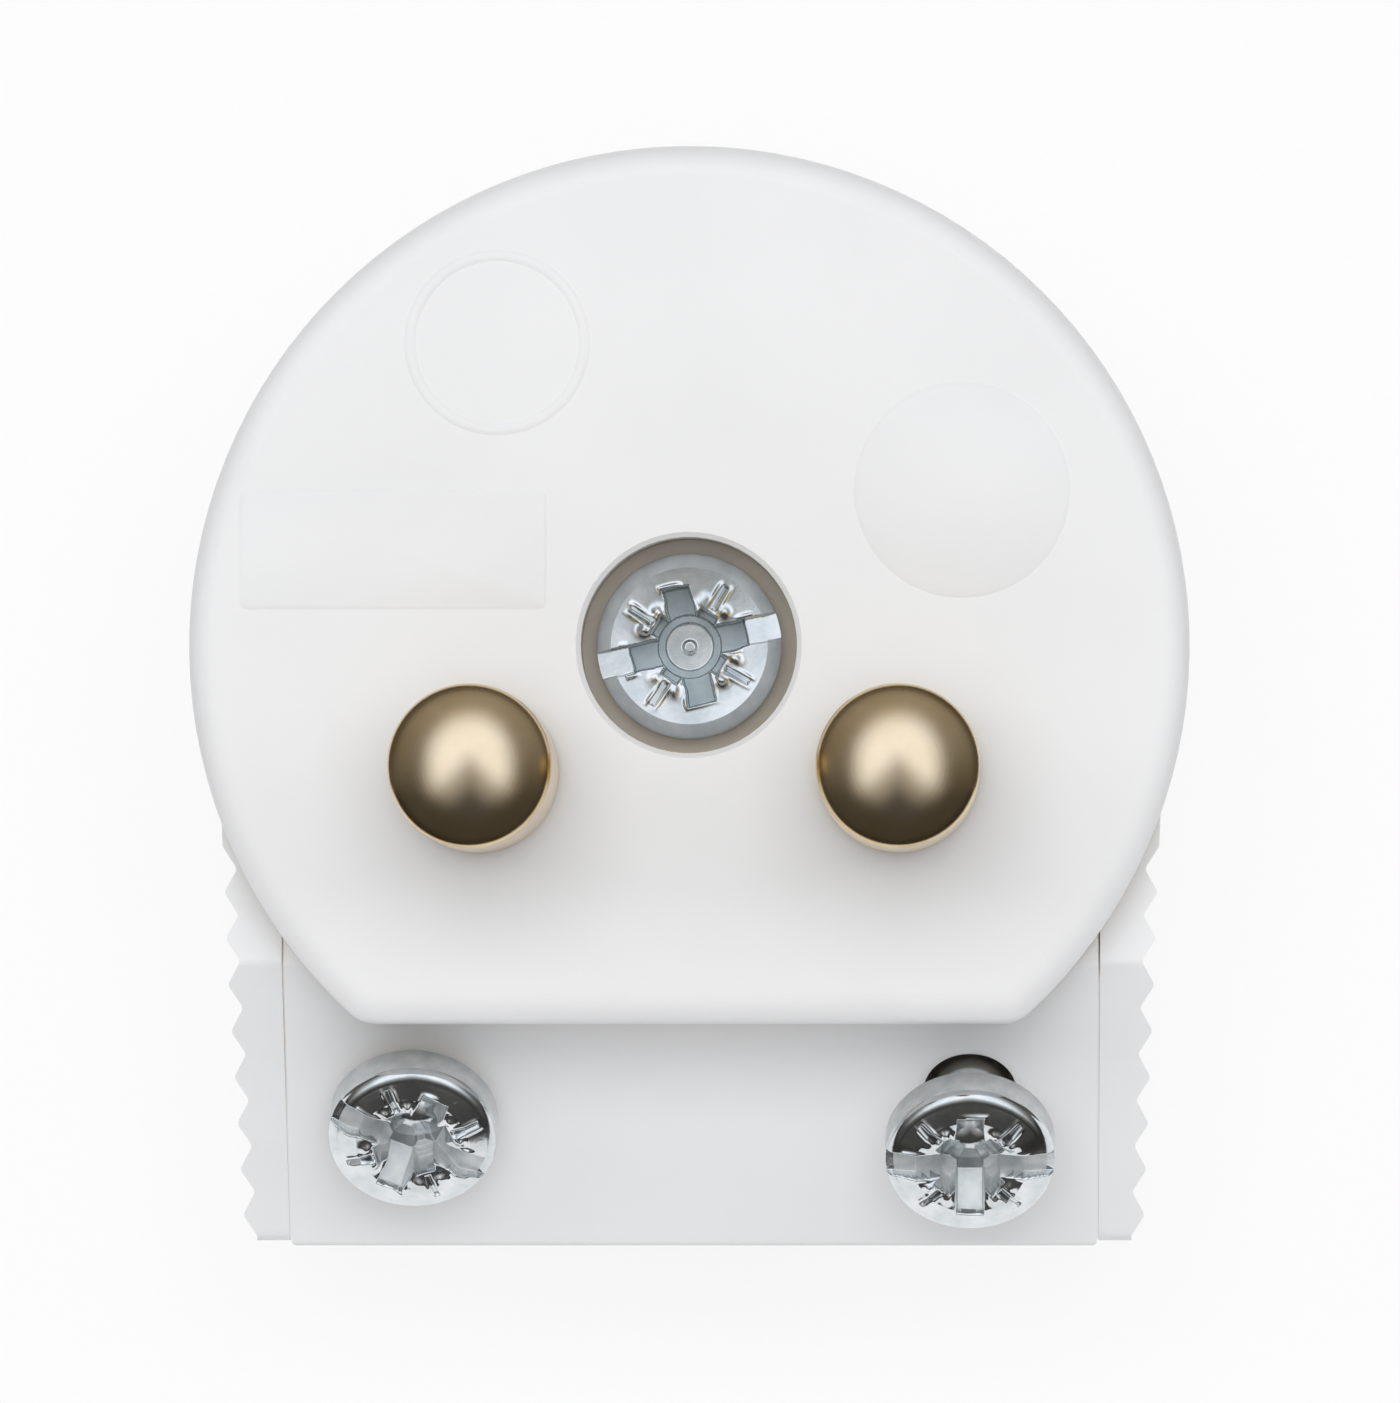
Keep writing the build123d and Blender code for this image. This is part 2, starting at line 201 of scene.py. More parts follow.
def turnedBrass():
    # leaded brass off a lathe: satin, fine rings round the axis, uneven tarnish, a painted highlight tint on the
    # tip and a painted shade tint on the flanks
    look = brassLook
    material, tree = newMaterial("turnedBrass")
    where = addNode(tree, "ShaderNodeTexCoord").outputs["Object"]
    axes = addNode(tree, "ShaderNodeSeparateXYZ", None, {"Vector": where})
    rings = addNode(tree, "ShaderNodeTexNoise",
                    {"noise_dimensions": "1D", "Scale": perMetre(look["turnedMm"]),
                     "Detail": look["turnedDetail"]}, {"W": axes.outputs["Z"]})
    stain = addNode(tree, "ShaderNodeTexNoise",
                    {"Scale": perMetre(look["stainMm"]), "Detail": look["stainDetail"]}, {"Vector": where})
    low, high = look["stainRange"]
    stainedShadeTint = addNode(tree, "ShaderNodeValToRGB", {"stops": [(low, look["dull"]), (high, look["bright"])]},
                        {"Fac": stain.outputs["Fac"]})
    highlightTint = addNode(tree, "ShaderNodeValToRGB",
                   {"stops": [(low, look["highlightTintDull"]), (high, look["highlightTintBright"])]},
                   {"Fac": stain.outputs["Fac"]})
    # painted highlight and shade: paler within about 1.2 mm of the axis, where the highlight falls, more saturated
    # beyond 2 mm
    across = addNode(tree, "ShaderNodeVectorMath", {"operation": "MULTIPLY", 1: (1, 1, 0)}, {0: where})
    fromAxis = addNode(tree, "ShaderNodeVectorMath", {"operation": "LENGTH"}, {0: across.outputs[0]})
    flank = addNode(tree, "ShaderNodeMapRange",
                    {"interpolation_type": "SMOOTHSTEP", "From Min": look["highlightTintMm"][0] * mm,
                     "From Max": look["highlightTintMm"][1] * mm}, {"Value": fromAxis.outputs["Value"]})
    tone = addNode(tree, "ShaderNodeMix", {"data_type": "RGBA"},
                   {0: flank.outputs[0], 6: highlightTint.outputs["Color"], 7: stainedShadeTint.outputs["Color"]})
    rough = addNode(tree, "ShaderNodeMapRange", {"To Min": look["roughLow"], "To Max": look["roughHigh"]},
                    {"Value": stain.outputs["Fac"]})
    bump = addNode(tree, "ShaderNodeBump",
                   {"Strength": look["turnedStrength"], "Distance": look["turnedHeightMm"] * mm},
                   {"Height": rings.outputs["Fac"]})
    shader = addNode(tree, "ShaderNodeBsdfPrincipled", {"Metallic": 1.0},
                     {"Base Color": tone.outputs[2], "Roughness": rough.outputs[0],
                      "Normal": bump.outputs[0]})
    addNode(tree, "ShaderNodeOutputMaterial", None, {"Surface": shader.outputs[0]})
    return material


# the bright plating, then the dull one where a punch or a rolling die pressed it; the struck one is darker too, as
# painted shade in the recess
platedZinc = {"detail": 3.0, "bloomRange": (0.35, 0.65), "pitStrength": 0.2}
brightZinc = {**platedZinc, "bloomMm": 0.9, "pitMm": 0.16, "pitHeightMm": 0.012,
              "name": "zincPlatedSteel", "bright": "#e3e6e8", "grey": "#cdd3d6",
              "metallic": 1.0, "roughLow": 0.1, "roughHigh": 0.18}
pressedZinc = {**platedZinc, "bloomMm": 0.6, "pitMm": 0.1, "pitHeightMm": 0.02}
struckShadedZinc = {**pressedZinc, "name": "struckZincShadedRecess", "bright": "#c2cccf", "grey": "#b0bbbf",
              "metallic": 1.0, "roughLow": 0.42, "roughHigh": 0.55}
punchedZinc = {**pressedZinc, "name": "punchedZincRecess", "bright": "#e2e4e4", "grey": "#ccd1d2",
               "metallic": 0.55, "roughLow": 0.32, "roughHigh": 0.45}
rolledZinc = {**pressedZinc, "name": "rolledZincFlank", "bright": "#dbe1e5", "grey": "#cbd2d7",
              "metallic": 0.72, "roughLow": 0.42, "roughHigh": 0.55}


def zincPlatedSteel(look):
    # cold-headed steel with clear zinc: bluish and glossy, slightly pitted, and matt where it was pressed
    material, tree = newMaterial(look["name"])
    where = addNode(tree, "ShaderNodeTexCoord").outputs["Object"]
    bloom = addNode(tree, "ShaderNodeTexNoise",
                    {"Scale": perMetre(look["bloomMm"]), "Detail": look["detail"]}, {"Vector": where})
    pits = addNode(tree, "ShaderNodeTexNoise",
                   {"Scale": perMetre(look["pitMm"]), "Detail": look["detail"]}, {"Vector": where})
    low, high = look["bloomRange"]
    tone = addNode(tree, "ShaderNodeValToRGB", {"stops": [(low, look["grey"]), (high, look["bright"])]},
                   {"Fac": bloom.outputs["Fac"]})
    rough = addNode(tree, "ShaderNodeMapRange", {"To Min": look["roughLow"], "To Max": look["roughHigh"]},
                    {"Value": bloom.outputs["Fac"]})
    bump = addNode(tree, "ShaderNodeBump",
                   {"Strength": look["pitStrength"], "Distance": look["pitHeightMm"] * mm},
                   {"Height": pits.outputs["Fac"]})
    shader = addNode(tree, "ShaderNodeBsdfPrincipled", {"Metallic": look["metallic"]},
                     {"Base Color": tone.outputs["Color"], "Roughness": rough.outputs[0],
                      "Normal": bump.outputs[0]})
    addNode(tree, "ShaderNodeOutputMaterial", None, {"Surface": shader.outputs[0]})
    return material


plastic = mouldedPolyamide()
brass = turnedBrass()
zinc = zincPlatedSteel(brightZinc)
shadedGreyRecess = zincPlatedSteel(struckShadedZinc)
paleRecess = zincPlatedSteel(punchedZinc)
greyFlank = zincPlatedSteel(rolledZinc)
print("materials made")

# CAD nodes that stay get their finish
for nodeName, finish in (("face_plate", plastic), ("rear_housing", plastic), ("cord_clamp", plastic),
                         ("terminal_screw_left", zinc), ("terminal_screw_right", zinc), ("centre_nut", zinc)):
    node = frame["nodes"][nodeName]
    node.data.materials.clear()
    node.data.materials.append(finish)
print("CAD nodes finished")


# a hair of moulding flash along the clamp's edges, which all but closes the seams beside it

# depths are below the clamp's surface: on the land, at the crease, then down the slope from the screws
clampFlash = {"width": 0.045, "overlap": 0.02, "thickness": 0.3,
              "landDrop": 8.75, "creaseDrop": 9.87, "landTop": 19.45,
              "left": {"land": 0.04, "crease": 0.05,
                       "slope": [(-4.4, 0.04), (-2.0, 0.045), (0.0, 0.03), (3.0, 0.014), (5.8, 0.01)]},
              "right": {"land": 0.2, "crease": 0.14,
                        "slope": [(-4.4, 0.03), (-2.0, 0.03), (0.0, 0.028), (3.0, 0.022), (5.8, 0.012)]}}


def buildFlash(side):
    f = clampFlash
    depths = f[side]
    screwJoint = joints[f"clamp_screw_{side}_turn"]
    out = Vector(screwJoint["axis"])
    down = Vector((0, -out.z, out.y))
    middle = Vector(screwJoint["pos_m"]) / mm
    up = Vector((0, 0, 1))
    path = [(-f["landDrop"], f["landTop"], up, depths["land"]),
            (-f["creaseDrop"], f["landTop"], (up + out).normalized(), depths["crease"])]
    for run, depth in depths["slope"]:
        place = middle + run * down
        path.append((place.y, place.z, out, depth))
    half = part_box("cord_clamp")[1].x / mm
    hand = math.copysign(1, middle.x)
    near, far = sorted((hand * (half - f["overlap"]), hand * (half + f["width"])))
    verts = []
    for y, z, normal, depth in path:
        foot = depth + f["thickness"]
        for x, below in ((near, foot), (far, foot), (far, depth), (near, depth)):
            verts.append((x, y - below * normal.y, z - below * normal.z))
    flash = addPiece(f"clampFlash_{side}", verts, ringFaces(len(path), 4))
    flash.data.materials.append(plastic)
    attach(flash, "clamp")


# a thin lip in the mouth of each screw hole, which keeps the screw in the clamp
# edgeCut is how far in the rounded edge's middle lies, as a share of the edge
holeLip = {"inner": 1.44, "outer": 1.67, "sunk": 0.01, "depth": 0.5, "edge": 0.06, "edgeCut": 0.3,
           "segments": 64}


def buildLip(side):
    h = holeLip
    cut = h["edgeCut"] * h["edge"]
    profile = [(h["outer"], -h["depth"]), (h["outer"], -h["sunk"]), (h["inner"] + h["edge"], -h["sunk"]),
               (h["inner"] + cut, -h["sunk"] - cut), (h["inner"], -h["sunk"] - h["edge"]),
               (h["inner"], -h["depth"])]
    lip = addPiece(f"holeLip_{side}", turnedVerts(profile, h["segments"]),
                   ringFaces(len(profile), h["segments"], looped=True))
    lip.data.materials.append(plastic)
    lip.matrix_world = standOn(joints[f"clamp_screw_{side}_turn"])
    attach(lip, "clamp")


for side in ("left", "right"):
    buildFlash(side)
    buildLip(side)
print("clamp flash and lips added")


# bare low relief on the face: a ring, a disc and a panel, all plain

faceRelief = {"sunk": 0.03, "segments": 128,
              "ringCentre": (-5.93, 9.36), "ringRadius": 2.7, "ringWidth": 0.34, "ringHeight": 0.045,
              "discCentre": (8.45, 4.79), "discRadius": 3.34, "discHeight": 0.08, "discBevel": 0.16,
              "panelLow": (-13.9, 1.1), "panelHigh": (-4.4, 4.8), "panelHeight": 0.04, "panelBevel": 0.08,
              "panelCorner": 0.25, "cornerSteps": 6}


def roundedPanel(inset):
    # outline of the panel with its round corners, drawn in by inset
    s = faceRelief
    low, high, corner = s["panelLow"], s["panelHigh"], s["panelCorner"]
    points = []
    quarters = ((high[0], high[1], 0), (low[0], high[1], 90), (low[0], low[1], 180), (high[0], low[1], 270))
    for x, y, start in quarters:
        middle = (x - math.copysign(corner, math.cos(math.radians(start + 45))),
                  y - math.copysign(corner, math.sin(math.radians(start + 45))))
        for k in range(s["cornerSteps"] + 1):
            a = math.radians(start + 90 * k / s["cornerSteps"])
            points.append((middle[0] + (corner - inset) * math.cos(a),
                           middle[1] + (corner - inset) * math.sin(a)))
    return points


def addRelief(name, verts, faces):
    relief = addPiece(name, verts, faces)
    relief.data.materials.append(plastic)
    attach(relief, "face")


def buildRelief():
    s = faceRelief
    foot, count = faceFront - s["sunk"], s["segments"]
    middle, half = s["ringRadius"], s["ringWidth"] / 2
    rise = faceFront + s["ringHeight"]
    profile = [(middle + half, foot), (middle + half, faceFront), (middle + half / 2, rise),
               (middle - half / 2, rise), (middle - half, faceFront), (middle - half, foot)]
    across, along = s["ringCentre"]
    ring = [(x + across, y + along, z) for x, y, z in turnedVerts(profile, count)]
    addRelief("plainRing", ring, ringFaces(len(profile), count, looped=True))

    profile = [(s["discRadius"], foot), (s["discRadius"], faceFront),
               (s["discRadius"] - s["discBevel"], faceFront + s["discHeight"])]
    across, along = s["discCentre"]
    disc = [(x + across, y + along, z) for x, y, z in turnedVerts(profile, count)]
    addRelief("plainDisc", disc, ringFaces(len(profile), count))

    levels = ((0, foot), (0, faceFront), (s["panelBevel"], faceFront + s["panelHeight"]))
    panel = [(x, y, z) for inset, z in levels for x, y in roundedPanel(inset)]
    addRelief("plainPanel", panel, ringFaces(len(levels), len(panel) // len(levels)))


buildRelief()
print("relief added")


# contact pins

contactPin = {"domeRadius": 3.2, "edgeRadius": 0.6, "neckRadius": 2.0, "neckRise": 0.15, "softEdge": 0.04,
              "tailRadius": 3.0, "tailLength": 7.5, "tailBevel": 0.3,
              "wireHoleRadius": 1.3, "wireHoleDepth": 3.5, "screwHoleRadius": 1.5, "screwHoleTop": 16.8,
              "boreLength": 8.0, "boreSegments": 48, "axisGap": 0.04, "sliver": 0.0004,
              "segments": 128, "barrelSteps": 4, "edgeSteps": 12, "domeSteps": 29}


def pinProfile(radius, tip):
    # from the tail up to the domed tip
    p = contactPin
    tail, neckTop, soft = plateBack - p["tailLength"], faceFront + p["neckRise"], p["softEdge"]
    profile = [(p["axisGap"], tail), (p["tailRadius"] - p["tailBevel"], tail),
               (p["tailRadius"], tail + p["tailBevel"]), (p["tailRadius"], plateBack - soft),
               (p["tailRadius"] - soft, plateBack), (p["neckRadius"], plateBack),
               (p["neckRadius"], neckTop), (radius - soft, neckTop), (radius, neckTop + soft)]
    edge, dome = p["edgeRadius"], p["domeRadius"]
    inset = radius - edge
    lift = math.sqrt((dome - edge) ** 2 - inset ** 2)
    domeZ = tip - dome
    meet = math.atan2(lift, inset)
    barrel = domeZ + lift - neckTop - soft
    profile += [(radius, neckTop + soft + barrel * k / p["barrelSteps"]) for k in range(1, p["barrelSteps"])]
    for k in range(p["edgeSteps"] + 1):
        a = meet * k / p["edgeSteps"]
        profile.append((inset + edge * math.cos(a), domeZ + lift + edge * math.sin(a)))
    for k in range(1, p["domeSteps"]):
        a = meet + (math.pi / 2 - meet) * k / p["domeSteps"]
        profile.append((dome * math.cos(a), domeZ + dome * math.sin(a)))
    return profile + [(p["axisGap"], tip)]


def boreCutter(radius, matrix):
    half, count = contactPin["boreLength"] / 2, contactPin["boreSegments"]
    ends = [(radius, -half), (radius, half)]
    cutter = addPiece("boreCutter", turnedVerts(ends, count), ringFaces(len(ends), count))
    cutter.matrix_world = matrix
    return cutter


def buildPin(side):
    p = contactPin
    mount = mounts[f"pin_{side}"]
    profile = pinProfile(mount["dims"]["r_mm"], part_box(f"pin_{side}")[1].z / mm)
    pin = addPiece(f"brassPin_{side}", turnedVerts(profile, p["segments"]),
                   ringFaces(len(profile), p["segments"]))
    wireHole = (Matrix.Translation((0, 0, (plateBack - p["wireHoleDepth"]) * mm))
                @ Matrix.Rotation(math.pi / 2, 4, "X"))
    screwHole = Matrix.Translation((0, 0, (p["screwHoleTop"] - p["boreLength"] / 2) * mm))
    cutters = [boreCutter(p["wireHoleRadius"], wireHole), boreCutter(p["screwHoleRadius"], screwHole)]
    for cutter in cutters:
        cut = pin.modifiers.new("bore", "BOOLEAN")
        cut.operation, cut.solver, cut.object = "DIFFERENCE", "EXACT", cutter
    bpy.context.view_layer.update()
    bored = bpy.data.meshes.new_from_object(pin.evaluated_get(bpy.context.evaluated_depsgraph_get()))
    pin.modifiers.clear()
    pin.data = bored
    # clear the slivers that the cuts leave behind
    work = bmesh.new()
    work.from_mesh(bored)
    bmesh.ops.remove_doubles(work, verts=work.verts, dist=p["sliver"] * mm)
    bmesh.ops.dissolve_degenerate(work, edges=work.edges, dist=p["sliver"] * mm)
    bmesh.ops.triangulate(work, faces=[face for face in work.faces if len(face.verts) > 4])
    work.to_mesh(bored)
    work.free()
    bored.shade_smooth()
    bored.set_sharp_from_angle(angle=math.radians(creaseDegrees))
    for cutter in cutters:
        bpy.data.objects.remove(cutter)
    bored.materials.clear()
    bored.materials.append(brass)
    pin.location = (mount["pos_m"][0], mount["pos_m"][1], 0)
    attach(pin, "face")
    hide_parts(f"pin_{side}")


for side in ("left", "right"):
    buildPin(side)
print("pins turned")


# pan head screws: a struck slot and cross with four tick marks, and a rolled thread

# waveRange is in radians a millimetre, tickLipAt in half widths of the tick, and gridOver is the share of a
# round shoulder that the grid takes in
struckHead = {"slotHalf": 0.42, "wingHalf": 0.42, "wingReach": 1.84, "edge": 0.05,
              "coreRadius": 1.0, "coreDepth": 1.1, "floorRadius": 0.77, "floorDepth": 1.3,
              "nubRadius": 0.2, "nubHeight": 0.08, "nubEdge": 0.12,
              "cornerHalf": 0.3, "cornerReach": 1.2, "cornerDepth": 0.85,
              "leadInFrom": 1.75, "leadInTo": 0.95,
              "tickStart": 1.3, "tickEnd": 2.2, "tickHalf": 0.1, "tickDepth": 0.12,
              "tickLip": 0.05, "tickLipAt": 1.7, "tickLipWidth": 0.06, "tickLipFade": 0.3,
              "lumpOut": 1.42, "lumpAside": 0.36, "lumpWidth": 0.18, "lumpHeight": 0.15,
              "raisedEven": 0.7, "raisedRagged": 0.3,
              "burr": 0.05, "burrOut": 0.07, "burrWidth": 0.06,
              "burrEven": 0.35, "burrRagged": 0.65, "burrMost": 1.4,
              "ragged": 0.014, "waves": 12, "waveRange": (2, 9), "waveTurn": 6.28,
              "grid": 200, "gridOver": 0.2, "rings": 7, "footBevel": 0.12, "seatHole": 0.6}
screwThread = {"crest": 1.45, "root": 1.18, "pitch": 0.5, "flankRise": 1.25, "length": 12.0, "intoHead": 0.3,
               "neck": 3.4, "neckRunout": 0.4, "tipBevel": 0.35, "segments": 48, "levelsPerTurn": 8}
# the centre screw's recess finish is rougher where the punch struck, and darker as painted shade where its wings
# lie in shade
centreScrew = {"radius": 2.87, "height": 1.8, "dish": 0.12, "creased": True,
               "shoulder": 0.44, "shoulderDrop": 0.4, "shoulderRound": 0.3,
               "slotDepth": 0.3, "slotFall": 0.13, "leadIn": 0.0, "wingDepth": 1.0, "wingLean": 0.03,
               "recess": shadedGreyRecess, "recessDepth": (0.72, 1.2), "flank": greyFlank,
               "proud": 0.0, "turn": 13, "seed": 3}
clampHead = {"radius": 2.65, "height": 1.75, "dish": -0.36, "creased": False,
             "shoulder": 0.32, "shoulderDrop": 0.34, "shoulderRound": 1.0,
             "slotDepth": 0.6, "slotFall": 0.1, "leadIn": 0.28, "wingDepth": 0.25, "wingLean": 0.95,
             "recess": paleRecess, "recessDepth": (0.2, 2.0), "flank": paleRecess}
clampScrews = {"left": {**clampHead, "proud": 1.25, "turn": -25, "seed": 5},
               "right": {**clampHead, "proud": 2.4, "turn": 0, "seed": 8}}


def step(distance, width):
    # 0 outside, 1 inside, soft over the wall's width
    t = np.clip(distance / width + 0.5, 0, 1)
    return t * t * (3 - 2 * t)


def headCrown(r, head):
    # the blank head before it is struck: dished or domed top, then the shoulder
    flat = head["radius"] - head["shoulder"]
    crown = head["height"] - head["dish"] * (1 - np.clip(r / flat, 0, 1) ** 2)
    if head["dish"] < 0:
        crown = crown + head["dish"]
    over = np.clip((r - flat) / head["shoulder"], 0, 1)
    rounded = 1 - np.sqrt(1 - over ** 2)
    return crown - head["shoulderDrop"] * (over + (rounded - over) * head["shoulderRound"])


def headHeights(x, y, head):
    # height of the struck head over the plane, and how deep it lies below the blank
    s = struckHead
    rng = np.random.default_rng(head["seed"])
    waves = [(rng.uniform(*s["waveRange"]), rng.uniform(0, s["waveTurn"]), rng.uniform(0, s["waveTurn"]))
             for _ in range(s["waves"])]
    uneven = sum(np.sin(f * (x * math.cos(d) + y * math.sin(d)) + p) for f, d, p in waves)
    uneven = uneven / math.sqrt(s["waves"] / 2)
    ragged = s["ragged"] * uneven
    r, e = np.hypot(x, y), s["edge"]
    top = headCrown(r, head)
    top = top - head["leadIn"] * np.clip((s["leadInFrom"] - r) / (s["leadInFrom"] - s["leadInTo"]), 0, 1)
    # the slot, then the wings of the cross
    pastWing = np.clip(np.abs(x) - s["wingReach"], 0, None)
    slotFloor = head["height"] - head["slotDepth"] - head["slotFall"] * pastWing
    inside = s["slotHalf"] - np.abs(y) + ragged
    depth = np.clip(top - slotFloor, 0, None) * step(inside, e)
    for along, across in ((np.abs(x), np.abs(y)), (np.abs(y), np.abs(x))):
        floor = np.minimum(head["wingDepth"] + head["wingLean"] * (s["wingReach"] - along), s["floorDepth"])
        edge = np.minimum(s["wingHalf"] - across, s["wingReach"] - along) + ragged
        depth = np.maximum(depth, floor * step(edge, e))
        inside = np.maximum(inside, edge)
    # between the wings: the corners of the cross, the ticks with their lips, and the lumps beside them
    u, v = (x + y) / math.sqrt(2), (x - y) / math.sqrt(2)
    for along, across in ((np.abs(u), np.abs(v)), (np.abs(v), np.abs(u))):
        edge = np.minimum(s["cornerHalf"] - across, s["cornerReach"] - along) + ragged
        depth = np.maximum(depth, s["cornerDepth"] * step(edge, e))
        inside = np.maximum(inside, edge)
        fromEnds = np.minimum(along - s["tickStart"], s["tickEnd"] - along)
        tickEdge = np.minimum(s["tickHalf"] - across, fromEnds)
        depth = np.maximum(depth, s["tickDepth"] * np.clip(tickEdge / s["tickHalf"], 0, 1))
        aside = (across - s["tickLipAt"] * s["tickHalf"]) / s["tickLipWidth"]
        fade = s["tickLipFade"]
        lips = s["tickLip"] * np.exp(-aside ** 2)
        lips = lips * step(along - s["tickStart"], fade) * step(s["tickEnd"] - along, fade)
        away = (along - s["lumpOut"]) ** 2 + (across - s["lumpAside"]) ** 2
        lumps = s["lumpHeight"] * np.exp(-away / s["lumpWidth"] ** 2)
        top = top + (lips + lumps) * (s["raisedEven"] + s["raisedRagged"] * uneven)
    # the core, its floor and the nub on it
    depth = np.maximum(depth, s["coreDepth"] * step(s["coreRadius"] - r, e))
    depth = np.maximum(depth, s["floorDepth"] * step(s["floorRadius"] - r, 2 * e))
    depth = depth - s["nubHeight"] * step(s["nubRadius"] - r, s["nubEdge"])
    burr = np.exp(-((inside + s["burrOut"]) / s["burrWidth"]) ** 2)
    burr = burr * np.clip(s["burrEven"] + s["burrRagged"] * uneven, 0, s["burrMost"])
    return top + s["burr"] * burr * (r < s["tickEnd"]) - depth, depth


def headMesh(head):
    # a square grid pressed into a disc, then rings over the shoulder, the side and the seat
    s = struckHead
    n = s["grid"]
    lead = 0.0 if head["creased"] else math.asin(s["gridOver"])
    disc = head["radius"] - head["shoulder"] * (1 - math.sin(lead))
    line = np.linspace(-1, 1, n + 1)
    u, v = np.meshgrid(line, line)
    x, y = disc * u * np.sqrt(1 - v ** 2 / 2), disc * v * np.sqrt(1 - u ** 2 / 2)
    heights, depths = headHeights(x, y, head)
    verts = np.stack([x, y, heights], -1).reshape(-1, 3)
    row = n + 1
    faces = [(j * row + i, j * row + i + 1, (j + 1) * row + i + 1, (j + 1) * row + i)
             for j in range(n) for i in range(n)]
    low, high = head["recessDepth"]
    middles = (depths[:-1, :-1] + depths[1:, 1:]) / 2
    finishes = ((middles > low) & (middles < high)).reshape(-1)
    rim = [i for i in range(n)] + [j * row + n for j in range(n)]
    rim += [n * row + i for i in range(n, 0, -1)] + [j * row for j in range(n, 0, -1)]
    angle = np.arctan2(verts[rim, 1], verts[rim, 0])
    circle = np.stack([np.cos(angle), np.sin(angle)], -1)
    rings = []
    for k in range(1, s["rings"] + 1):
        a = lead + (math.pi / 2 - lead) * k / s["rings"]
        flat = circle * (head["radius"] - head["shoulder"] * (1 - math.sin(a)))
        rings.append(np.column_stack([flat, headHeights(flat[:, 0], flat[:, 1], head)[0]]))
    bevel = s["footBevel"]
    for radius, z in ((head["radius"], bevel), (head["radius"] - bevel, 0.0), (s["seatHole"], 0.0)):
        rings.append(np.column_stack([circle * radius, np.full(len(rim), z)]))
    base, count = len(verts), len(rim)
    # finishes: 0 bright, 1 the struck recess, darker on the centre screw as painted shade, 2 the side and a
    # creased head's shoulder beside the slot
    shoulder = (np.abs(circle[:, 1]) * head["radius"] > s["slotHalf"]) & head["creased"]
    finishes = np.concatenate([finishes, np.tile(2 * shoulder, s["rings"]), np.full(count, 2)])
    verts = np.vstack([verts] + rings)
    previous = rim
    for level in range(len(rings)):
        current = [base + level * count + k for k in range(count)]
        for k in range(count):
            m = (k + 1) % count
            faces.append((previous[k], current[k], current[m], previous[m]))
        previous = current
    faces.append(tuple(reversed(previous)))
    return verts, faces, finishes, rim


def threadMesh():
    t = screwThread
    levels = int(t["length"] / t["pitch"] * t["levelsPerTurn"])
    turn = np.arange(t["segments"]) / t["segments"]
    angle = 2 * math.pi * turn
    verts = []
    for level in range(levels + 1):
        z = -t["length"] + (t["length"] + t["intoHead"]) * level / levels
        phase = (z / t["pitch"] - turn) % 1
        ridge = np.clip(t["flankRise"] * (1 - np.abs(2 * phase - 1)), 0, 1)
        # plain neck below the head, as rolled threads leave it
        ridge = np.minimum(ridge, np.clip((-t["neck"] - z) / t["neckRunout"], 0, 1))
        r = t["root"] + (t["crest"] - t["root"]) * ridge
        r = np.minimum(r, t["crest"] - t["tipBevel"] + (z + t["length"]))
        verts += list(zip(r * np.cos(angle), r * np.sin(angle), [z] * t["segments"]))
    return verts, ringFaces(levels + 1, t["segments"])


def buildScrew(name, node, joint, head):
    # on the joint's own axis, with the head as far proud of the joint's point as it is left in the plug
    headVerts, headFaces, headFinishes, rim = headMesh(head)
    shankVerts, shankFaces = threadMesh()
    shift = len(headVerts)
    faces = headFaces + [tuple(k + shift for k in face) for face in shankFaces]
    screw = addPiece(name, np.vstack([headVerts, shankVerts]), faces, crisp=False)
    for finish in (zinc, head["recess"], head["flank"]):
        screw.data.materials.append(finish)
    finishes = np.zeros(len(screw.data.polygons), np.int32)
    finishes[:len(headFinishes)] = headFinishes
    screw.data.polygons.foreach_set("material_index", finishes)
    if head["creased"]:
        ends = np.zeros(2 * len(screw.data.edges), np.int32)
        screw.data.edges.foreach_get("vertices", ends)
        screw.data.edges.foreach_set("use_edge_sharp", np.isin(ends.reshape(-1, 2), rim).all(axis=1))
    screw.matrix_world = (standOn(joint) @ Matrix.Translation((0, 0, head["proud"] * mm))
                          @ Matrix.Rotation(math.radians(head["turn"]), 4, "Z"))
    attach(screw, node)
    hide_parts(node)


buildScrew("centreScrew", "centre_screw", joints["centre_screw_turn"], centreScrew)
for side, head in clampScrews.items():
    buildScrew(f"clampScrew_{side}", f"clamp_screw_{side}", joints[f"clamp_screw_{side}_turn"], head)
print("screws made")


# stage: pale floor, soft light from above, behind and in front

stageLook = {"floorHalf": 1600.0, "floorDrop": 0.02, "paper": "#f4f4f4", "paperGlow": 0.85,
             "backdrop": "#ffffff", "airColour": "#fbfcff", "airLevel": 0.4}
# tilt back in degrees, distance and size in metres
softboxes = {"keySoftbox": {"tilt": 7, "away": 0.55, "size": (0.3, 0.3), "radiance": 4.25},
             "stripSoftbox": {"tilt": 15, "away": 0.55, "size": (1.4, 0.15), "radiance": 1.5},
             "frontSoftbox": {"tilt": -50, "away": 0.55, "size": (1.4, 0.15), "radiance": 0.56}}
# standing cards that only mirrors see, dark all round and white low in front
# arc is in degrees from +x, ends are the heights of the lower and upper edge
mirrorCards = {"darkCardBack": {"shade": "#595550", "radius": 45.0, "arc": (-20, 200), "ends": (0.0, 33.0)},
               "darkCardFront": {"shade": "#2e2b28", "radius": 45.0, "arc": (200, 340), "ends": (10.0, 33.0)},
               "whiteCardFront": {"shade": "#ffffff", "radius": 28.0, "arc": (200, 340), "ends": (0.0, 22.0)}}
cardSegments = 48
